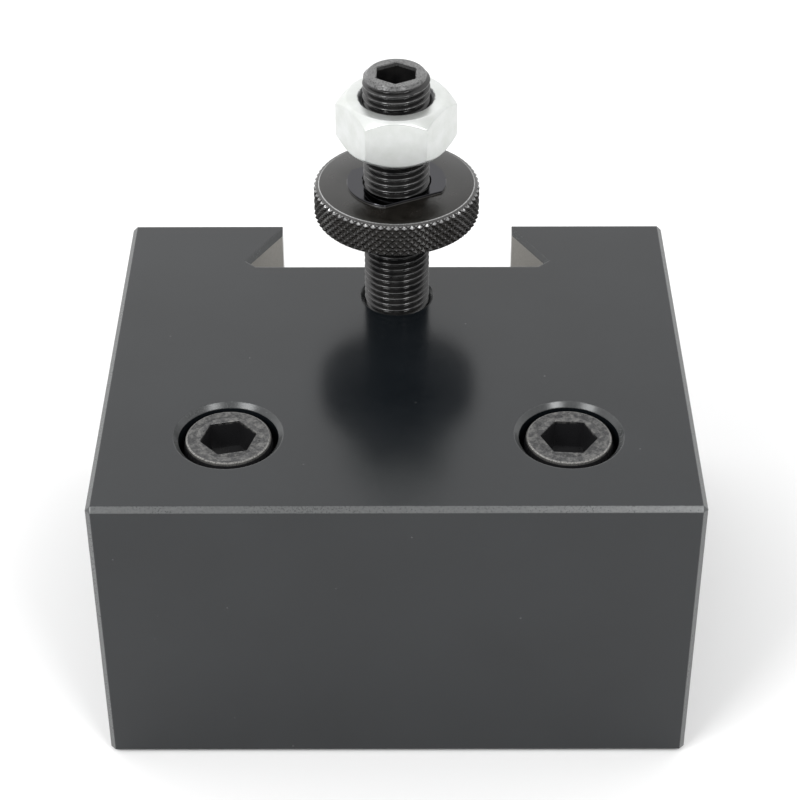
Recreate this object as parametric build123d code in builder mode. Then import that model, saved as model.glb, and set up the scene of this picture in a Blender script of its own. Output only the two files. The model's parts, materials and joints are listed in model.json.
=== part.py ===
"""Boring-bar holder for a quick change tool post, in millimetres.

A steel block carries a dovetail slot up its back face and a bar bore from side
to side. Two cap screws in counterbores draw two scalloped plugs up against the
bar. A threaded stud with a knurled nut and a lock nut sets the height.

Frame: +Z up, +X to the right, the dovetail slot at +Y, and the origin at the
centre of the block's underside.
"""

import math
import os

from build123d import *

# ---- Driving dimensions -------------------------------------------------------

# Block
block_width = 120.65
block_depth = 101.6
block_height = 66.7
edge_chamfer = 1.0

# Dovetail slot, open at the back, top and bottom
slot_mouth = 52.3
slot_depth = 17.6
slot_angle = 60.0
slot_tip_land = 3.4
slot_corner_land = 1.8

# Boring bar
bar_diameter = 38.1
bar_clearance = 0.05
bar_to_screw_wall = 1.5

# Clamp screws: socket head cap screws, proportioned from the thread
screw_thread = 12.0
screw_spacing = 68.6
screw_pair_shift = 0.4
screw_from_front = 23.5
screw_recess = 0.65
screw_head_diameter = 1.5 * screw_thread
screw_head_height = screw_thread
screw_head_chamfer = 0.5
screw_socket_flats = 10.0
screw_socket_depth = 6.5
screw_socket_turns = {"left": 12.5, "right": -4.0}
screw_hole_clearance = 1.0
screw_tip_chamfer = 1.0
counterbore_clearance = 2.2
counterbore_chamfer = 1.0

# Clamp plugs, drawn up inside bores that open at the underside
plug_diameter = 24.0
plug_gap = 0.05
plug_recess = 3.0
plug_draw_room = 3.0
plug_roof = 7.0
plug_chamfer = 0.8
plug_tip_room = 5.0
scallop_gap = 0.01

# Height stud
stud_thread = 14.0
stud_rise = 54.8
stud_depth = 18.0
stud_hole_extra = 2.0
stud_hole_chamfer = 1.0
stud_to_slot = 10.75
stud_tip_chamfer = 1.0
stud_socket_flats = 8.0
stud_socket_depth = 8.0
stud_socket_turn = 28.0

# Fits between a thread and its hole, taken on the major diameter
thread_seat_gap = 0.02
thread_run_gap = 0.05

# Knurled thumb nut on the stud
thumb_height = 21.2
thumb_diameter = 35.1
thumb_thickness = 7.5
thumb_chamfer = 0.5
boss_rise = 0.5
boss_diameter = stud_thread + 7.0
boss_flats = stud_thread + 2.2
boss_turn = -64.0
thumb_bore_chamfer = 0.3

# Lock nut on the stud
lock_height = 38.4
lock_flats = stud_thread + 8.0
lock_thickness = 11.0
lock_cone_angle = 40.0
lock_cone_land = 0.95
lock_bore_chamfer = 0.9

# ---- Places worked out from them ----------------------------------------------

front_y = -block_depth / 2
back_y = block_depth / 2
floor_y = back_y - slot_depth
screw_y = front_y + screw_from_front
screw_ends = {
    "left": screw_pair_shift - screw_spacing / 2,
    "right": screw_pair_shift + screw_spacing / 2,
}

bar_bore_diameter = bar_diameter + bar_clearance
bar_y = screw_y + screw_thread / 2 + bar_to_screw_wall + bar_bore_diameter / 2
bar_z = block_height / 2

counterbore_diameter = screw_head_diameter + counterbore_clearance
head_top = block_height - screw_recess
head_seat = head_top - screw_head_height
counterbore_depth = block_height - head_seat
plug_bore_top = head_seat - plug_roof
plug_top = plug_bore_top - plug_draw_room
plug_bore_diameter = plug_diameter + 2 * plug_gap
screw_tip = plug_recess + plug_tip_room

stud_y = floor_y - stud_to_slot
stud_bottom = block_height - stud_depth
stud_length = stud_depth + stud_rise
stud_bore_diameter = stud_thread + 2 * thread_seat_gap
nut_bore_diameter = stud_thread + 2 * thread_run_gap
boss_top = thumb_thickness + boss_rise
OVERSIZE = 4.0
TOUCH = 0.01


def slot_half_outline():
    """Half of the dovetail slot in plan, from the mouth to the slot floor."""
    flank_run = slot_depth - slot_tip_land - slot_corner_land
    tip_x = slot_mouth / 2
    root_x = tip_x + flank_run / math.tan(math.radians(slot_angle))
    return [
        (tip_x, back_y + OVERSIZE),
        (tip_x, back_y - slot_tip_land),
        (root_x, floor_y + slot_corner_land),
        (root_x - slot_corner_land, floor_y),
    ]


def is_on_flank(edge):
    """Whether an edge lies along one of the slot's slanted flanks."""
    middle = edge.center()
    beside_mouth = abs(middle.X) > slot_mouth / 2 + TOUCH
    return beside_mouth and floor_y + slot_corner_land < middle.Y < back_y - slot_tip_land


def is_circle_at(radius, height):
    """A test for round edges of one radius that lie flat at one height."""
    def test(edge):
        if edge.geom_type != GeomType.CIRCLE:
            return False
        flat = abs(edge.center().Z - height) < TOUCH
        return flat and abs(edge.radius - radius) < TOUCH

    return test


# ---- Holder body ---------------------------------------------------------------

half_slot = slot_half_outline()
other_half = [(-x, y) for x, y in reversed(half_slot)]

with BuildPart() as holder_body:
    with BuildSketch():
        Rectangle(block_width, block_depth)
    extrude(amount=block_height)
    chamfer(holder_body.edges(), length=edge_chamfer)

    # Dovetail slot, its slanted flanks chamfered at the top and underside
    with BuildSketch():
        with BuildLine():
            Polyline(*half_slot, *other_half, close=True)
        make_face()
    extrude(amount=block_height, mode=Mode.SUBTRACT)
    flank_ends = holder_body.faces().filter_by(Axis.Z).edges().filter_by(is_on_flank)
    chamfer(flank_ends, length=edge_chamfer)

    # Stepped holes for the clamp screws, and the plug bores below them
    with Locations(*[(x, screw_y, block_height) for x in screw_ends.values()]):
        CounterBoreHole(
            radius=(screw_thread + screw_hole_clearance) / 2,
            counter_bore_radius=counterbore_diameter / 2,
            counter_bore_depth=counterbore_depth,
        )
    with BuildSketch():
        with Locations(*[(x, screw_y) for x in screw_ends.values()]):
            Circle(plug_bore_diameter / 2)
    extrude(amount=plug_bore_top, mode=Mode.SUBTRACT)

    # Bar bore from side to side
    with BuildSketch(Plane.YZ):
        with Locations((bar_y, bar_z)):
            Circle(bar_bore_diameter / 2)
    extrude(amount=block_width, both=True, mode=Mode.SUBTRACT)

    # Blind hole for the height stud
    with Locations((0, stud_y, block_height)):
        Hole(radius=stud_bore_diameter / 2, depth=stud_depth + stud_hole_extra)

    counterbore_mouths = holder_body.edges().filter_by(
        is_circle_at(counterbore_diameter / 2, block_height)
    )
    chamfer(counterbore_mouths, length=counterbore_chamfer)
    stud_mouth = holder_body.edges().filter_by(
        is_circle_at(stud_bore_diameter / 2, block_height)
    )
    chamfer(stud_mouth, length=stud_hole_chamfer)
    plug_mouths = holder_body.edges().filter_by(is_circle_at(plug_bore_diameter / 2, 0))
    chamfer(plug_mouths, length=plug_chamfer)
    bar_mouths = holder_body.edges().filter_by(GeomType.CIRCLE).filter_by(
        lambda edge: abs(abs(edge.center().X) - block_width / 2) < TOUCH
    )
    chamfer(bar_mouths, length=edge_chamfer)
holder_body.part.label = "holder_body"


# ---- Clamp screws and plugs ----------------------------------------------------

def make_clamp_screw(x, socket_turn):
    """A socket head cap screw, head up, its socket turned about its own axis."""
    head_plane = Plane((x, screw_y, head_seat))
    with BuildPart() as screw:
        with BuildSketch(head_plane):
            Circle(screw_head_diameter / 2)
        extrude(amount=screw_head_height)
        head_rim = screw.edges().group_by(Axis.Z)[-1]
        chamfer(head_rim, length=screw_head_chamfer)
        with BuildSketch(head_plane):
            Circle(screw_thread / 2)
        extrude(amount=screw_tip - head_seat)
        tip_rim = screw.edges().group_by(Axis.Z)[0]
        chamfer(tip_rim, length=screw_tip_chamfer)
        with BuildSketch(head_plane.offset(screw_head_height - screw_socket_depth)):
            RegularPolygon(
                screw_socket_flats / 2, 6, major_radius=False, rotation=socket_turn
            )
        extrude(amount=screw_socket_depth, mode=Mode.SUBTRACT)
    return screw.part


def make_clamp_plug(x):
    """A round plug, tapped from end to end, scalloped where the bar lies."""
    with BuildPart() as plug:
        with BuildSketch(Plane((x, screw_y, plug_recess))):
            Circle(plug_diameter / 2)
            Circle(screw_thread / 2 + thread_run_gap, mode=Mode.SUBTRACT)
        extrude(amount=plug_top - plug_recess)
        end_rims = plug.edges().filter_by(GeomType.CIRCLE).filter_by(
            lambda edge: abs(edge.radius - plug_diameter / 2) < TOUCH
        )
        chamfer(end_rims, length=plug_chamfer)
        with BuildSketch(Plane.YZ.offset(x)):
            with Locations((bar_y, bar_z)):
                Circle(bar_bore_diameter / 2 + scallop_gap)
        extrude(amount=plug_diameter, both=True, mode=Mode.SUBTRACT)
    return plug.part


clamp_parts = []
for side, x in screw_ends.items():
    clamp_screw = make_clamp_screw(x, screw_socket_turns[side])
    clamp_screw.label = f"clamp_screw_{side}"
    clamp_plug = make_clamp_plug(x)
    clamp_plug.label = f"clamp_plug_{side}"
    clamp_parts += [clamp_screw, clamp_plug]


# ---- Height stud ---------------------------------------------------------------

stud_base = Plane((0, stud_y, stud_bottom))

with BuildPart() as height_stud:
    with BuildSketch(stud_base):
        Circle(stud_thread / 2)
    extrude(amount=stud_length)
    chamfer(height_stud.edges().filter_by(GeomType.CIRCLE), length=stud_tip_chamfer)
    with BuildSketch(stud_base.offset(stud_length - stud_socket_depth)):
        RegularPolygon(
            stud_socket_flats / 2, 6, major_radius=False, rotation=stud_socket_turn
        )
    extrude(amount=stud_socket_depth, mode=Mode.SUBTRACT)
height_stud.part.label = "height_stud"


# ---- Thumb nut -----------------------------------------------------------------

thumb_base = Plane((0, stud_y, block_height + thumb_height))

with BuildPart() as thumb_nut:
    with BuildSketch(thumb_base):
        Circle(thumb_diameter / 2)
    extrude(amount=thumb_thickness)
    chamfer(thumb_nut.edges().filter_by(GeomType.CIRCLE), length=thumb_chamfer)
    with BuildSketch(thumb_base.offset(thumb_thickness)):
        Circle(boss_diameter / 2)
        Rectangle(boss_flats, boss_diameter, rotation=boss_turn, mode=Mode.INTERSECT)
    extrude(amount=boss_rise)
    with BuildSketch(thumb_base):
        Circle(nut_bore_diameter / 2)
    extrude(amount=boss_top, mode=Mode.SUBTRACT)
    thumb_mouths = thumb_nut.edges().filter_by(GeomType.CIRCLE).filter_by(
        lambda edge: abs(edge.radius - nut_bore_diameter / 2) < TOUCH
    )
    chamfer(thumb_mouths, length=thumb_bore_chamfer)
thumb_nut.part.label = "thumb_nut"


# ---- Lock nut ------------------------------------------------------------------

lock_base = Plane((0, stud_y, block_height + lock_height))
lock_corner = lock_flats / 2 / math.cos(math.pi / 6)
lock_face_radius = lock_cone_land * lock_flats / 2
lock_cone_drop = (lock_corner - lock_face_radius) * math.tan(
    math.radians(lock_cone_angle)
)

with BuildPart() as lock_nut:
    with BuildSketch(lock_base):
        RegularPolygon(lock_flats / 2, 6, major_radius=False)
    extrude(amount=lock_thickness)
    # Both faces are turned to a cone, which cuts the corners back
    with BuildSketch(Plane.XZ.offset(-stud_y)):
        with BuildLine():
            Polyline(
                (0, lock_base.origin.Z),
                (lock_face_radius, lock_base.origin.Z),
                (lock_corner, lock_base.origin.Z + lock_cone_drop),
                (lock_corner, lock_base.origin.Z + lock_thickness - lock_cone_drop),
                (lock_face_radius, lock_base.origin.Z + lock_thickness),
                (0, lock_base.origin.Z + lock_thickness),
                close=True,
            )
        make_face()
    revolve(axis=Axis((0, stud_y, 0), (0, 0, 1)), mode=Mode.INTERSECT)
    with BuildSketch(lock_base):
        Circle(nut_bore_diameter / 2)
    extrude(amount=lock_thickness, mode=Mode.SUBTRACT)
    lock_mouths = lock_nut.edges().filter_by(GeomType.CIRCLE).filter_by(
        lambda edge: abs(edge.radius - nut_bore_diameter / 2) < TOUCH
    )
    chamfer(lock_mouths, length=lock_bore_chamfer)
lock_nut.part.label = "lock_nut"


# ---- Export --------------------------------------------------------------------

os.makedirs("parts", exist_ok=True)
pieces = [holder_body.part, height_stud.part, thumb_nut.part, lock_nut.part, *clamp_parts]
for piece in pieces:
    export_step(piece, f"parts/{piece.label}.step")
    print(piece.label, "volume", round(piece.volume, 1))
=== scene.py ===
"""Looks of a boring-bar holder for a quick change tool post.

The block and the two clamp plugs are the CAD pieces, with their own finishes.
The stud, both nuts and both cap screws are surfaces worked out here: threads,
knurls, sockets and softened edges, each turned about its own upright axis.
Everything is in metres, in the frame of the CAD model.
"""

import json
import math

import bpy
import numpy as np
from mathutils import Matrix, Vector


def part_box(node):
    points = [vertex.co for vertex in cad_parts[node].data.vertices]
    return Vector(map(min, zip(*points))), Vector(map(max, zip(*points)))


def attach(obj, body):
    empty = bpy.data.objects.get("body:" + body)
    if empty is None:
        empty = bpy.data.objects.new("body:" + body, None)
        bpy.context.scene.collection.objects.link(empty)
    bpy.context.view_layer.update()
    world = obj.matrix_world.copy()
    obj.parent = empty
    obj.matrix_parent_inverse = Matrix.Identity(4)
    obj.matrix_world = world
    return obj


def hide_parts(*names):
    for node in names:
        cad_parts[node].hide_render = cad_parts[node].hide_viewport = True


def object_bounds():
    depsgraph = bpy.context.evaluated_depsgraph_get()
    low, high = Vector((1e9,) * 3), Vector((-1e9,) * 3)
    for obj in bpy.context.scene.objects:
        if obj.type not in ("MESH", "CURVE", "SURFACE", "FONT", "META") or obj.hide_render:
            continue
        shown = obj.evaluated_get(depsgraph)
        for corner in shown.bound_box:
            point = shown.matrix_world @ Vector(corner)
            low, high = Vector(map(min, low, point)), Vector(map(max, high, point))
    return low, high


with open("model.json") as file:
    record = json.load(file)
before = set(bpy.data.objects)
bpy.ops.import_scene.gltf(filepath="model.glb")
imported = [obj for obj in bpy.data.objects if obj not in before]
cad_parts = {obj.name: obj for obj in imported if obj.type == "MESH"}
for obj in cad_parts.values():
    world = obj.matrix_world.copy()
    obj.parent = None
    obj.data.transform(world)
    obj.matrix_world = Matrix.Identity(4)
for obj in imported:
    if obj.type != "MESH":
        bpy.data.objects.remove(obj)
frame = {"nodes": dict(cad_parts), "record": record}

cad_low, cad_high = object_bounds()
MM = 0.001

# ---- Shop sizes that the CAD keeps plain ----------------------------------------

STUD_PITCH = 1.5 * MM
STUD_END_CHAMFER = 1.1 * MM
STUD_SOCKET_FLATS = 8.0 * MM
STUD_SOCKET_DEPTH = 8.0 * MM
STUD_SOCKET_TURN = 28.0
SCREW_PITCH = 1.75 * MM
SCREW_HEAD_HEIGHT = 12.0 * MM
SCREW_THREAD = 12.0 * MM
SCREW_SOCKET_FLATS = 10.0 * MM
SCREW_SOCKET_DEPTH = 6.4 * MM
SCREW_SOCKET_TURN = {"left": 12.5, "right": -4.0}
SCREW_HEAD_RIBS = 54
NUT_RUN_GAP = 0.05 * MM
LOCK_MOUTH = 0.9 * MM
THUMB_MOUTH = 0.3 * MM
THUMB_DISC = 7.5 * MM
BOSS_RADIUS = 10.5 * MM
BOSS_HALF_FLATS = 8.1 * MM
BOSS_TURN = -64.0
KNURL_COUNT = 66
KNURL_DEPTH = 0.6 * MM
LOCK_FLATS = 22.0 * MM
LOCK_FACE_SHARE = 0.95
LOCK_CONE = 40.0
FLOOR_GAP = 0.2 * MM
CHAMFER_REACH = 1.05 * MM
FLOOR_REACH = 3.0
CAMERA_AT = (1.48 * MM, -381.8 * MM, 343.8 * MM)
CAMERA_TILT = {"pitch": 90 - 37.135, "yaw": 0.174, "roll": -0.196}

# ---- Places taken from the frame ------------------------------------------------


def centre_of(low, high):
    """The upright axis through the middle of a box."""
    return (low.x + high.x) / 2, (low.y + high.y) / 2


def named_entry(entries, name):
    """The entry with a name, in one of the record's lists."""
    return next(entry for entry in entries if entry["name"] == name)


block_low, block_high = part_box("holder_body")
stud_low, stud_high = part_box("height_stud")
STUD_MAJOR = (stud_high.x - stud_low.x) / 2
STUD_AXIS = centre_of(stud_low, stud_high)

# ---- Surfaces about an upright axis ---------------------------------------------


def angles_round(count):
    """Evenly spaced angles of the columns, once round the axis."""
    return np.arange(count) * (2 * np.pi / count)


def section_of(points, columns):
    """Stacks (radius, height) points, each a number or one per column."""
    rows = [
        np.stack([np.broadcast_to(np.asarray(v, float), (columns,)) for v in point], 1)
        for point in points
    ]
    return np.stack(rows)


def soften(section, reach, closed, steps=3):
    """Rounds every corner of a section.

    A corner p becomes points of (1-s)^2 a + 2s(1-s) p + s^2 b for s from 0 to 1,
    where a and b lie on its two sides, a reach away or 0.45 of the side.
    """
    before = np.roll(section, 1, axis=0) - section
    after = np.roll(section, -1, axis=0) - section
    shares = []
    for side in (before, after):
        length = np.linalg.norm(side, axis=2, keepdims=True)
        shares.append(side * np.minimum(0.45, reach / np.maximum(length, 1e-9)))
    start, end = section + shares[0], section + shares[1]
    s = np.linspace(0, 1, steps + 1)[None, :, None, None]
    curve = (
        (1 - s) ** 2 * start[:, None]
        + 2 * s * (1 - s) * section[:, None]
        + s**2 * end[:, None]
    )
    if closed:
        return curve.reshape(-1, *section.shape[1:])
    inner = curve[1:-1].reshape(-1, *section.shape[1:])
    return np.concatenate([section[:1], inner, section[-1:]])


def turned_mesh(name, section, angles, axis, closed):
    """A mesh from a section turned about an upright axis.

    Vertex (i, j) is at radius r[i, j] and height z[i, j] on the ray at angle j.
    A closed section joins its last row to its first. An open one ends in a pole
    on the axis at each end.
    """
    rows, columns = section.shape[:2]
    radius, height = section[..., 0], section[..., 1]
    x = axis[0] + radius * np.cos(angles)
    y = axis[1] + radius * np.sin(angles)
    points = np.stack([x, y, height], axis=2).reshape(-1, 3)
    index = np.arange(rows * columns).reshape(rows, columns)
    lower = index if closed else index[:-1]
    upper = np.roll(index, -1, axis=0) if closed else index[1:]
    quads = np.stack(
        [lower, np.roll(lower, -1, 1), np.roll(upper, -1, 1), upper], axis=2
    ).reshape(-1, 4)
    fans = np.zeros((0, 3), int)
    if not closed:
        poles = [(axis[0], axis[1], height[0, 0]), (axis[0], axis[1], height[-1, 0])]
        points = np.vstack([points, poles])
        first, last = np.full(columns, len(points) - 2), np.full(columns, len(points) - 1)
        fans = np.vstack(
            [
                np.stack([first, np.roll(index[0], -1), index[0]], 1),
                np.stack([last, index[-1], np.roll(index[-1], -1)], 1),
            ]
        )
    a, b, c = points[quads[:, 0]], points[quads[:, 1]], points[quads[:, 2]]
    volume = np.einsum("ij,ij->i", a, np.cross(b, c)).sum()
    if volume < 0:
        quads, fans = quads[:, ::-1], fans[:, ::-1]
    mesh = bpy.data.meshes.new(name)
    mesh.from_pydata(points.tolist(), [], quads.tolist() + fans.tolist())
    mesh.polygons.foreach_set("use_smooth", np.ones(len(mesh.polygons), bool))
    mesh.set_sharp_from_angle(angle=math.radians(28))
    mesh.validate()
    return mesh


def place(name, mesh, material, body, slot, *nodes):
    """Puts a finished mesh in the scene, riding on its body for its CAD node."""
    piece = bpy.data.objects.new(name, mesh)
    bpy.context.scene.collection.objects.link(piece)
    mesh.materials.append(material)
    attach(piece, body)
    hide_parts(*nodes)
    return piece


def hexagon(angles, flats, turn=0.0, sharpness=110):
    """Radius of a hexagon with eased corners.

    Each side is the line r cos(angle - side) = flats / 2. The sides join as
    r = (sum of (cos / (flats / 2)) ^ p) ^ (-1 / p), sharper as p grows.
    """
    sides = np.radians(turn) + np.pi / 6 + np.arange(6) * np.pi / 3
    reach = np.cos(angles[:, None] - sides[None, :]) / (flats / 2)
    return np.sum(np.clip(reach, 0, None) ** sharpness, axis=1) ** (-1 / sharpness)


def thread(angles, heights, major, pitch, depth_share=0.58):
    """Radius of a right-hand thread at each height and angle.

    The phase is height / pitch - angle / turn. The radius falls from the rounded
    crest to a short flat root along half a cosine wave.
    """
    phase = heights[:, None] / pitch - angles[None, :] / (2 * np.pi)
    from_crest = 2 * np.abs(phase - np.round(phase))
    eased = 0.5 - 0.5 * np.cos(np.pi * np.minimum(1.15 * from_crest, 1.0))
    return major - depth_share * pitch * eased


def wave(value):
    """A triangle wave: 0 at whole numbers and 1 halfway between them."""
    return 1 - 2 * np.abs(value - np.floor(value) - 0.5)


# ---- Finishes -------------------------------------------------------------------


def new_finish(name):
    """An empty node material: its node tree, and its shader."""
    material = bpy.data.materials.new(name)
    material.use_nodes = True
    shader = material.node_tree.nodes["Principled BSDF"]
    return material, shader


def node(material, kind, **settings):
    """Adds a node. Names with a capital set an input, others a property."""
    made = material.node_tree.nodes.new("ShaderNode" + kind)
    for key, value in settings.items():
        socket = key.replace("_", " ")
        if key[0].isupper():
            made.inputs[socket].default_value = value
        else:
            setattr(made, key, value)
    return made


def join(material, source, target):
    """Links an output socket to an input socket."""
    material.node_tree.links.new(source, target)


def object_place(material, scale=(1, 1, 1)):
    """The point on the piece, in metres, stretched by scale."""
    coordinate = node(material, "TexCoord")
    mapping = node(material, "Mapping", Scale=scale)
    join(material, coordinate.outputs["Object"], mapping.inputs["Vector"])
    return mapping.outputs["Vector"]


def noise(material, place_on, scale, detail=3.0, roughness=0.55):
    """Cloudy noise between 0 and 1, with features of about 1 / scale metres."""
    made = node(material, "TexNoise", Scale=scale, Detail=detail, Roughness=roughness)
    join(material, place_on, made.inputs["Vector"])
    return made.outputs["Fac"]


def math_node(material, operation, first, second=None, clamp=False):
    """Arithmetic on sockets or numbers."""
    made = node(material, "Math", operation=operation, use_clamp=clamp)
    for slot_number, value in enumerate((first, second)):
        if value is None:
            continue
        if isinstance(value, (int, float)):
            made.inputs[slot_number].default_value = value
        else:
            join(material, value, made.inputs[slot_number])
    return made.outputs[0]


def spread(material, value, low, high, to_low=0.0, to_high=1.0):
    """Maps low..high on to to_low..to_high, held at the ends."""
    made = node(material, "MapRange", clamp=True)
    for key, number in zip(("From Min", "From Max", "To Min", "To Max"),
                           (low, high, to_low, to_high)):
        made.inputs[key].default_value = number
    join(material, value, made.inputs["Value"])
    return made.outputs["Result"]


def blend_colour(material, share, first, second):
    """Mixes two colours, each a socket or three numbers, by share."""
    made = node(material, "Mix", data_type="RGBA")
    join(material, share, made.inputs["Factor"])
    for key, colour in (("A", first), ("B", second)):
        socket = [s for s in made.inputs if s.name == key and s.type == "RGBA"][0]
        if isinstance(colour, tuple):
            socket.default_value = (*colour, 1.0)
        else:
            join(material, colour, socket)
    return [s for s in made.outputs if s.type == "RGBA"][0]


def raised(material, height, depth, normal=None):
    """A bump of depth metres from a height between 0 and 1."""
    made = node(material, "Bump", Strength=1.0, Distance=depth)
    join(material, height, made.inputs["Height"])
    if normal is not None:
        join(material, normal, made.inputs["Normal"])
    return made.outputs["Normal"]


def from_axis(material, at, centre):
    """Distance in metres from an upright axis."""
    offset = node(material, "VectorMath", operation="SUBTRACT")
    offset.inputs[1].default_value = (centre[0], centre[1], 0)
    join(material, at, offset.inputs[0])
    level = node(material, "VectorMath", operation="MULTIPLY")
    level.inputs[1].default_value = (1, 1, 0)
    join(material, offset.outputs[0], level.inputs[0])
    length = node(material, "VectorMath", operation="LENGTH")
    join(material, level.outputs[0], length.inputs[0])
    return length.outputs["Value"]


def height_of(material, at):
    """Height in metres above the underside."""
    parts = node(material, "SeparateXYZ")
    join(material, at, parts.inputs["Vector"])
    return parts.outputs["Z"]


def eased_edges(material, radius):
    """A normal rounded near edges, and how far it leans from the flat face."""
    rounded = node(material, "Bevel", samples=8, Radius=radius)
    flat = node(material, "NewGeometry")
    lean = node(material, "VectorMath", operation="DOT_PRODUCT")
    join(material, rounded.outputs["Normal"], lean.inputs[0])
    join(material, flat.outputs["True Normal"], lean.inputs[1])
    worn = spread(material, lean.outputs["Value"], 0.995, 0.9)
    return rounded.outputs["Normal"], worn


def block_finish(slot_floor, slot_mouth_half):
    """Black oxide over a ground block, with bare flanks and rubbed chamfers."""
    material, shader = new_finish("blackened_block_steel")
    at = object_place(material)
    cloud = noise(material, at, 45.0, 4.0)
    grain = noise(material, at, 2600.0, 2.0, 0.7)
    strokes = noise(material, object_place(material, (160, 5200, 5200)), 1.0, 2.0)
    tone = math_node(material, "ADD", math_node(material, "MULTIPLY", cloud, 0.55),
                     math_node(material, "MULTIPLY", grain, 0.45))
    oxide = blend_colour(material, spread(material, tone, 0.3, 0.7),
                         (0.0035, 0.0048, 0.0062), (0.0085, 0.0105, 0.0125))
    specks = node(material, "TexVoronoi", Scale=420.0)
    join(material, at, specks.inputs["Vector"])
    sparse = noise(material, at, 210.0, 1.0)
    near = spread(material, specks.outputs["Distance"], 0.10, 0.05)
    dust = math_node(material, "MULTIPLY", near, spread(material, sparse, 0.66, 0.72))
    rounded, worn = eased_edges(material, 0.35 * MM)
    worn = math_node(material, "MULTIPLY", worn, spread(material, grain, 0.25, 0.6))
    bare = math_node(material, "MAXIMUM", math_node(material, "MULTIPLY", dust, 0.5),
                     math_node(material, "MULTIPLY", worn, 0.5))
    chamfer = math_node(material, "MULTIPLY", chamfer_mask(material),
                        spread(material, grain, 0.3, 0.6, 0.4, 0.6))
    bare = math_node(material, "MAXIMUM", bare, chamfer)
    coat = blend_colour(material, bare, oxide, (0.20, 0.205, 0.205))

    flank = flank_mask(material, slot_floor, slot_mouth_half)
    ground = blend_colour(material, spread(material, strokes, 0.3, 0.7),
                          (0.20, 0.192, 0.175), (0.27, 0.26, 0.24))
    join(material, blend_colour(material, flank, coat, ground), shader.inputs["Base Color"])
    rough = math_node(material, "ADD", spread(material, tone, 0.3, 0.7, 0.15, 0.24),
                      math_node(material, "MULTIPLY",
                                math_node(material, "MAXIMUM", flank, chamfer), 0.2))
    join(material, rough, shader.inputs["Roughness"])
    join(material, math_node(material, "MAXIMUM", flank, bare), shader.inputs["Metallic"])
    surface = math_node(material, "ADD", math_node(material, "MULTIPLY", grain, 0.6),
                        math_node(material, "MULTIPLY", strokes, 0.4))
    join(material, raised(material, surface, 0.012 * MM, rounded), shader.inputs["Normal"])
    return material


def facing_and_place(material):
    """The x, y and z of the face's own direction, and of the point on the piece."""
    coordinate = node(material, "TexCoord")
    split = []
    for output in ("Normal", "Object"):
        parts = node(material, "SeparateXYZ")
        join(material, coordinate.outputs[output], parts.inputs["Vector"])
        split.append(parts.outputs)
    return split


def leans(material, reach, degrees, tolerance):
    """1 where a part of the facing is within tolerance of the cosine of an angle."""
    made = node(material, "Math", operation="COMPARE")
    join(material, math_node(material, "ABSOLUTE", reach), made.inputs[0])
    made.inputs[1].default_value = math.cos(math.radians(degrees))
    made.inputs[2].default_value = tolerance
    return made.outputs[0]


def chamfer_mask(material):
    """1 on the chamfers between two outer faces, half in the counterbores, else 0."""
    facing, place_on = facing_and_place(material)
    slanted, outside = 0.0, 0.0
    for axis in "XZ":
        alike = leans(material, facing[axis], 45, 0.14)
        slanted = math_node(material, "MAXIMUM", alike, slanted)
    for axis, low, high in zip("XYZ", block_low, block_high):
        for near in (
            math_node(material, "LESS_THAN", place_on[axis], low + CHAMFER_REACH),
            math_node(material, "GREATER_THAN", place_on[axis], high - CHAMFER_REACH),
        ):
            outside = math_node(material, "ADD", near, outside)
    return math_node(material, "MULTIPLY", slanted, spread(material, outside, 0, 2))


def flank_mask(material, slot_floor, slot_mouth_half):
    """1 on the two slanted dovetail faces, 0 elsewhere."""
    facing, place_on = facing_and_place(material)
    slanted = leans(material, facing["X"], 30, 0.05)
    forward = math_node(material, "LESS_THAN", facing["Y"], -0.3)
    behind = math_node(material, "GREATER_THAN", place_on["Y"], slot_floor)
    aside = math_node(material, "ABSOLUTE", place_on["X"])
    inward = math_node(material, "GREATER_THAN", aside, slot_mouth_half)
    both = math_node(material, "MULTIPLY", slanted, forward)
    return math_node(material, "MULTIPLY", both,
                     math_node(material, "MULTIPLY", behind, inward))


def stud_finish():
    """Oiled black oxide, rubbed grey on the thread crests and the end."""
    material, shader = new_finish("oiled_stud_black")
    at = object_place(material)
    cloud = noise(material, at, 380.0, 3.0)
    grain = noise(material, at, 3200.0, 3.0, 0.75)
    oxide = blend_colour(material, spread(material, cloud, 0.3, 0.7),
                         (0.006, 0.006, 0.0065), (0.016, 0.0155, 0.015))
    crest = spread(material, from_axis(material, at, STUD_AXIS),
                   STUD_MAJOR - 0.09 * MM, STUD_MAJOR - 0.01 * MM)
    end = spread(material, height_of(material, at), stud_high.z - 0.9 * STUD_END_CHAMFER,
                 stud_high.z - 0.6 * STUD_END_CHAMFER)
    rubbed = math_node(material, "MAXIMUM",
                       math_node(material, "MULTIPLY", crest,
                                 spread(material, cloud, 0.35, 0.65, 0.05, 0.6)),
                       math_node(material, "MULTIPLY", end,
                                 spread(material, grain, 0.38, 0.6, 0.05, 0.75)))
    join(material, blend_colour(material, rubbed, oxide, (0.30, 0.30, 0.30)),
         shader.inputs["Base Color"])
    join(material, spread(material, cloud, 0.3, 0.7, 0.18, 0.28), shader.inputs["Roughness"])
    join(material, rubbed, shader.inputs["Metallic"])
    join(material, raised(material, grain, 0.005 * MM), shader.inputs["Normal"])
    return material


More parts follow.
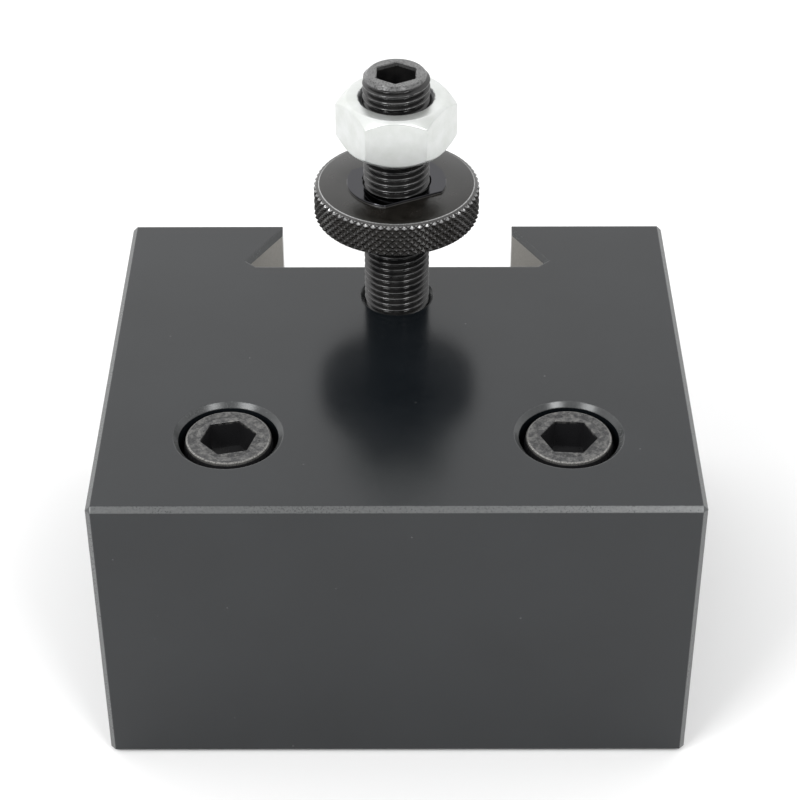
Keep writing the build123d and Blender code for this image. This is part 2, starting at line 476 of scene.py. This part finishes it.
def thumb_nut_finish(rim, disc_top):
    """Oiled black oxide: a polished boss, a satin disc and rubbed knurl tips."""
    material, shader = new_finish("knurled_nut_black")
    at = object_place(material)
    cloud = noise(material, at, 420.0, 3.0)
    grain = noise(material, at, 3200.0, 2.0, 0.7)
    oxide = blend_colour(material, spread(material, cloud, 0.3, 0.7),
                         (0.005, 0.0045, 0.0035), (0.012, 0.0105, 0.009))
    out = from_axis(material, at, STUD_AXIS)
    tip = spread(material, out, rim - 0.16 * MM, rim - 0.03 * MM)
    high = height_of(material, at)
    line = math_node(material, "MULTIPLY",
                     spread(material, out, rim - 1.22 * MM, rim - 1.16 * MM),
                     spread(material, out, rim - 0.92 * MM, rim - 1.0 * MM))
    bevel = math_node(material, "MULTIPLY",
                      math_node(material, "MAXIMUM", line,
                                spread(material, out, rim - 1.15 * MM, rim - 1.05 * MM,
                                       0, 0.12)),
                      spread(material, high, disc_top - 0.6 * MM, disc_top - 0.4 * MM))
    brow = math_node(material, "MULTIPLY",
                     spread(material, out, rim - 0.5 * MM, rim - 0.35 * MM),
                     spread(material, high, disc_top - 0.95 * MM, disc_top - 0.7 * MM))
    bevel = math_node(material, "MAXIMUM", bevel, brow)
    rubbed = math_node(material, "MULTIPLY",
                       math_node(material, "MAXIMUM", bevel,
                                 math_node(material, "MULTIPLY", tip, 0.3)),
                       spread(material, grain, 0.3, 0.6, 0.4, 1.0))
    boss = spread(material, high, disc_top + 0.2 * MM, disc_top + 0.3 * MM)
    worn = blend_colour(material, rubbed, oxide, (0.42, 0.42, 0.42))
    join(material, blend_colour(material, boss, worn, (0.055, 0.055, 0.06)),
         shader.inputs["Base Color"])
    satin = spread(material, cloud, 0.3, 0.7, 0.2, 0.28)
    join(material, math_node(material, "SUBTRACT", satin,
                             math_node(material, "MULTIPLY", boss, 0.15)),
         shader.inputs["Roughness"])
    join(material, math_node(material, "MAXIMUM", rubbed, boss), shader.inputs["Metallic"])
    join(material, raised(material, grain, 0.003 * MM), shader.inputs["Normal"])
    return material


def zinc_finish():
    """Bright zinc plating, satin, with a faint yellow-green cast in places."""
    material, shader = new_finish("bright_zinc_plate")
    at = object_place(material)
    cloud = noise(material, at, 260.0, 4.0)
    grain = noise(material, at, 2400.0, 3.0, 0.7)
    plate = blend_colour(material, spread(material, cloud, 0.35, 0.68),
                         (0.70, 0.715, 0.705), (0.62, 0.64, 0.615))
    # Darker round the bore mouth: the bore, its mouth chamfers and a ragged band of both faces
    # beside them are mixed towards dark grey, by distance from the stud's axis.
    ragged = math_node(material, "MULTIPLY", math_node(material, "SUBTRACT", grain, 0.5),
                       1.2 * MM)
    out = math_node(material, "ADD", from_axis(material, at, STUD_AXIS), ragged)
    mouth = spread(material, out, STUD_MAJOR + LOCK_MOUTH + 0.16 * MM,
                   STUD_MAJOR + LOCK_MOUTH + 0.04 * MM)
    darkened_mouth_ring = math_node(material, "MULTIPLY", mouth,
                        spread(material, cloud, 0.4, 0.62, 0.8, 1.0))
    join(material, blend_colour(material, darkened_mouth_ring, plate, (0.10, 0.10, 0.105)),
         shader.inputs["Base Color"])
    join(material, spread(material, grain, 0.3, 0.7, 0.30, 0.40), shader.inputs["Roughness"])
    shader.inputs["Metallic"].default_value = 0.72
    join(material, raised(material, grain, 0.004 * MM), shader.inputs["Normal"])
    return material


def screw_finish(side):
    """Black oxide worn to grey steel on the head, with handling marks."""
    low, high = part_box("clamp_screw_" + side)
    head_top, head_radius, axis = high.z, (high.x - low.x) / 2, centre_of(low, high)
    material, shader = new_finish("worn_screw_steel_" + side)
    at = object_place(material)
    blotch = noise(material, at, 900.0, 5.0, 0.75)
    grain = noise(material, at, 3000.0, 2.0, 0.7)
    face = math_node(material, "GREATER_THAN", height_of(material, at), head_top - 0.6 * MM)
    marks = math_node(material, "MULTIPLY", face,
                      spread(material, blotch, 0.46, 0.62, 0.0, 0.36))
    rim = math_node(material, "MULTIPLY", face,
                    spread(material, from_axis(material, at, axis),
                           head_radius - 0.85 * MM, head_radius - 0.7 * MM))
    edge = math_node(material, "MULTIPLY", rim, spread(material, grain, 0.35, 0.6, 0.1, 1.0))
    bare = math_node(material, "MAXIMUM", marks, edge)
    coat = blend_colour(material, bare, (0.012, 0.012, 0.013), (0.34, 0.335, 0.32))
    join(material, coat, shader.inputs["Base Color"])
    join(material, spread(material, blotch, 0.3, 0.7, 0.25, 0.36), shader.inputs["Roughness"])
    join(material, bare, shader.inputs["Metallic"])
    join(material, raised(material, math_node(material, "ADD", blotch, grain), 0.01 * MM),
         shader.inputs["Normal"])
    return material


def plug_finish():
    """Turned plug steel: black oxide with fine lathe rings along its length."""
    material, shader = new_finish("turned_plug_steel")
    rings = noise(material, object_place(material, (60, 60, 4200)), 1.0, 2.0)
    cloud = noise(material, object_place(material), 300.0, 3.0)
    coat = blend_colour(material, spread(material, cloud, 0.3, 0.7),
                        (0.10, 0.10, 0.105), (0.17, 0.17, 0.17))
    join(material, coat, shader.inputs["Base Color"])
    join(material, spread(material, rings, 0.3, 0.7, 0.28, 0.42), shader.inputs["Roughness"])
    shader.inputs["Metallic"].default_value = 1.0
    join(material, raised(material, rings, 0.006 * MM), shader.inputs["Normal"])
    return material


# ---- Pieces ---------------------------------------------------------------------


def make_stud(material):
    """The height stud: one thread from end to end and a hex socket in its top.

    The thread's radius is held under a 45 degree cone at each end. Inside, the
    section runs over the top face and down the socket to a drilled cone.
    """
    low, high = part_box("height_stud")
    major = (high.x - low.x) / 2
    angles = angles_round(108)
    heights = np.linspace(low.z, high.z, int((high.z - low.z) / STUD_PITCH * 17) + 1)
    rounds = thread(angles, heights, major, STUD_PITCH)
    cone = major - STUD_END_CHAMFER + np.minimum(heights - low.z, high.z - heights)
    outer = np.stack(
        [np.minimum(rounds, cone[:, None]),
         np.broadcast_to(heights[:, None], rounds.shape)], axis=2
    )
    socket = hexagon(angles, STUD_SOCKET_FLATS, STUD_SOCKET_TURN)
    floor = high.z - STUD_SOCKET_DEPTH
    top = section_of(
        [
            (major - STUD_END_CHAMFER - 0.15 * MM, high.z),
            (socket + 0.18 * MM, high.z),
            (socket, high.z - 0.18 * MM),
            (socket, floor),
            (0.5 * socket, floor - 0.6 * MM),
            (0.02 * MM, floor - 1.6 * MM),
        ],
        len(angles),
    )
    section = np.concatenate([outer, top])
    mesh = turned_mesh("height_stud_threaded", section, angles, centre_of(low, high), False)
    return place("height_stud_threaded", mesh, material, "holder", "stud_steel", "height_stud")


def boss_outline(angles):
    """Radius of a round boss cut by two parallel wrench flats."""
    across = np.abs(np.cos(angles - math.radians(BOSS_TURN)))
    return np.minimum(BOSS_RADIUS, BOSS_HALF_FLATS / np.maximum(across, 1e-6))


def make_thumb_nut(material):
    """The thumb nut: a diamond-knurled disc with a two-flat boss on top.

    Two sets of V grooves cross on the rim. The height left between them is the
    lower of two triangle waves, one in angle + height and one in angle - height.
    """
    low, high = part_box("thumb_nut")
    rim = (high.x - low.x) / 2
    angles = angles_round(KNURL_COUNT * 12)
    disc_top = low.z + THUMB_DISC
    heights = np.linspace(low.z, disc_top, 61)
    pitch = 2 * np.pi * rim / KNURL_COUNT
    turn = angles[None, :] * KNURL_COUNT / (2 * np.pi)
    rise = (heights[:, None] - low.z) / pitch
    left = np.minimum(wave(turn + rise), wave(turn - rise))
    knurl = rim - KNURL_DEPTH * (1 - np.minimum(1.12 * left, 1.0))
    from_face = np.minimum(heights - low.z, disc_top - heights)
    cone = rim - 0.85 * MM + 1.6 * from_face
    outer = np.stack(
        [np.minimum(knurl, cone[:, None]),
         np.broadcast_to(heights[:, None], knurl.shape)], axis=2
    )
    columns = len(angles)
    bore = STUD_MAJOR + NUT_RUN_GAP
    mouth = bore + THUMB_MOUTH
    boss = boss_outline(angles)
    top = section_of(
        [
            (rim - 0.95 * MM, disc_top - 0.08 * MM),
            (rim - 1.15 * MM, disc_top),
            (boss + 0.1 * MM, disc_top),
            (boss, disc_top + 0.1 * MM),
            (boss, high.z - 0.12 * MM),
            (boss - 0.12 * MM, high.z),
            (mouth, high.z),
            (bore, high.z - THUMB_MOUTH),
            (bore, low.z + THUMB_MOUTH),
            (mouth, low.z),
        ],
        columns,
    )
    section = np.concatenate([outer, top])
    mesh = turned_mesh("thumb_nut_knurled", section, angles, centre_of(low, high), True)
    return place("thumb_nut_knurled", mesh, material, "thumb_nut", "thumb_nut_steel", "thumb_nut")


def make_lock_nut(material):
    """The lock nut: a hexagon cut by a turned cone at both faces."""
    low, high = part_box("lock_nut")
    angles = angles_round(240)
    side = hexagon(angles, LOCK_FLATS, sharpness=140)
    face = LOCK_FACE_SHARE * LOCK_FLATS / 2
    drop = (side - face) * math.tan(math.radians(LOCK_CONE))
    bore = STUD_MAJOR + NUT_RUN_GAP
    mouth = bore + LOCK_MOUTH
    section = section_of(
        [
            (mouth, low.z),
            (face, low.z),
            (side, low.z + drop),
            (side, high.z - drop),
            (face, high.z),
            (mouth, high.z),
            (bore, high.z - LOCK_MOUTH),
            (bore, low.z + LOCK_MOUTH),
        ],
        len(angles),
    )
    section = soften(section, 0.3 * MM, closed=True, steps=4)
    mesh = turned_mesh("lock_nut_plated", section, angles, centre_of(low, high), True)
    return place("lock_nut_plated", mesh, material, "lock_nut", "lock_nut_zinc", "lock_nut")


def make_clamp_screw(side, material):
    """A cap screw: threaded shank, ribbed head side, hex socket.

    The ribs are a triangle wave round the head. A shallow turned groove runs
    round the socket.
    """
    low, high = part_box("clamp_screw_" + side)
    head = (high.x - low.x) / 2
    seat = high.z - SCREW_HEAD_HEIGHT
    angles = angles_round(SCREW_HEAD_RIBS * 6)
    columns = len(angles)
    heights = np.linspace(low.z, seat, int((seat - low.z) / SCREW_PITCH * 10) + 1)
    rounds = thread(angles, heights, SCREW_THREAD / 2, SCREW_PITCH)
    cone = SCREW_THREAD / 2 - 1.1 * MM + (heights - low.z)
    shank = np.stack(
        [np.minimum(rounds, cone[:, None]),
         np.broadcast_to(heights[:, None], rounds.shape)], axis=2
    )
    ribs = head - 0.28 * MM * (1 - wave(angles * SCREW_HEAD_RIBS / (2 * np.pi)))
    plain = np.full(columns, head - 0.3 * MM)
    socket = hexagon(angles, SCREW_SOCKET_FLATS, SCREW_SOCKET_TURN[side])
    groove = SCREW_SOCKET_FLATS / 2 / math.cos(math.pi / 6) + 0.75 * MM
    floor = high.z - SCREW_SOCKET_DEPTH
    top = section_of(
        [
            (head - 0.5 * MM, seat),
            (plain, seat + 0.2 * MM),
            (ribs, seat + 0.7 * MM),
            (ribs, high.z - 1.6 * MM),
            (plain, high.z - 1.2 * MM),
            (plain, high.z - 0.5 * MM),
            (head - 0.45 * MM, high.z - 0.16 * MM),
            (head - 0.7 * MM, high.z),
            (groove + 0.25 * MM, high.z),
            (groove, high.z - 0.07 * MM),
            (groove - 0.25 * MM, high.z),
            (socket + 0.12 * MM, high.z),
            (socket, high.z - 0.12 * MM),
            (socket, floor),
            (0.86 * SCREW_SOCKET_FLATS / 2, floor),
            (0.02 * MM, floor - 1.7 * MM),
        ],
        columns,
    )
    section = np.concatenate([shank, top])
    name = f"clamp_screw_{side}_detailed"
    mesh = turned_mesh(name, section, angles, centre_of(low, high), False)
    body = "clamp_screw_" + side
    return place(name, mesh, material, body, "screw_steel", body)


# ---- Studio ---------------------------------------------------------------------


def soft_panel(name, size, at, towards, power, shade=(1, 1, 1)):
    """A square area light of a size, facing a point."""
    light = bpy.data.lights.new(name, "AREA")
    light.size = size
    light.energy = power
    light.color = shade
    lamp = bpy.data.objects.new(name, light)
    lamp.location = at
    lamp.rotation_euler = (Vector(towards) - Vector(at)).to_track_quat("-Z", "Y").to_euler()
    bpy.context.scene.collection.objects.link(lamp)


def make_floor():
    """A wide pale floor just under the block."""
    corners = [(x * FLOOR_REACH, y * FLOOR_REACH, 0)
               for x, y in ((-1, -1), (1, -1), (1, 1), (-1, 1))]
    mesh = bpy.data.meshes.new("pale_floor")
    mesh.from_pydata(corners, [], [(0, 1, 2, 3)])
    material, shader = new_finish("pale_floor_paint")
    shader.inputs["Base Color"].default_value = (0.9, 0.9, 0.9, 1)
    shader.inputs["Roughness"].default_value = 0.9
    mesh.materials.append(material)
    ground = bpy.data.objects.new("pale_floor", mesh)
    ground.location.z = cad_low.z - FLOOR_GAP
    bpy.context.scene.collection.objects.link(ground)


def make_world():
    """A pale surround: brightest at the back and overhead, dimmer at the front."""
    world = bpy.data.worlds.new("studio_surround")
    world.use_nodes = True
    background = world.node_tree.nodes["Background"]
    coordinate = node(world, "TexCoord")
    outward = node(world, "SeparateXYZ")
    join(world, coordinate.outputs["Generated"], outward.inputs["Vector"])
    behind = spread(world, outward.outputs["Y"], -0.45, 0.45, 0.64, 1.3)
    sideways = spread(world, outward.outputs["X"], -0.25, 0.25, 1.1, 0.9)
    background.inputs["Color"].default_value = (1.0, 1.0, 1.0, 1)
    join(world, math_node(world, "MULTIPLY", behind, sideways), background.inputs["Strength"])
    bpy.context.scene.world = world


def make_camera():
    """A long lens above the front of the block, looking down at it."""
    lens = bpy.data.cameras.new("front_camera")
    lens.lens = 100.64
    lens.sensor_width = 36.0
    camera = bpy.data.objects.new("front_camera", lens)
    camera.location = CAMERA_AT
    pitch = Matrix.Rotation(math.radians(CAMERA_TILT["pitch"]), 4, "X")
    yaw = Matrix.Rotation(math.radians(CAMERA_TILT["yaw"]), 4, "Z")
    roll = Matrix.Rotation(math.radians(CAMERA_TILT["roll"]), 4, "Z")
    camera.matrix_world = Matrix.Translation(camera.location) @ yaw @ pitch @ roll
    bpy.context.scene.collection.objects.link(camera)
    bpy.context.scene.camera = camera


# ---- Assembly -------------------------------------------------------------------

slot_seat = named_entry(frame["record"]["mounts"], "dovetail_seat")
slot_opening = named_entry(frame["record"]["physics"]["openings"], "dovetail_slot")

block_steel = block_finish(slot_seat["pos_m"][1], slot_opening["box_m"][1][0])
plug_steel = plug_finish()
frame["nodes"]["holder_body"].data.materials.clear()
frame["nodes"]["holder_body"].data.materials.append(block_steel)
for side in ("left", "right"):
    plug = frame["nodes"]["clamp_plug_" + side]
    plug.data.materials.clear()
    plug.data.materials.append(plug_steel)
    make_clamp_screw(side, screw_finish(side))

make_stud(stud_finish())
thumb_low, thumb_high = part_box("thumb_nut")
make_thumb_nut(thumb_nut_finish((thumb_high.x - thumb_low.x) / 2, thumb_low.z + THUMB_DISC))
make_lock_nut(zinc_finish())

make_floor()
make_world()
soft_panel("left_softbox", 0.55, (-0.75, -0.75, 1.0), (0, 0, 0.05), 9)
soft_panel("right_softbox", 0.4, (0.5, -0.8, 1.0), (0, 0, 0.05), 6)
make_camera()
bpy.context.scene.view_settings.view_transform = "Standard"
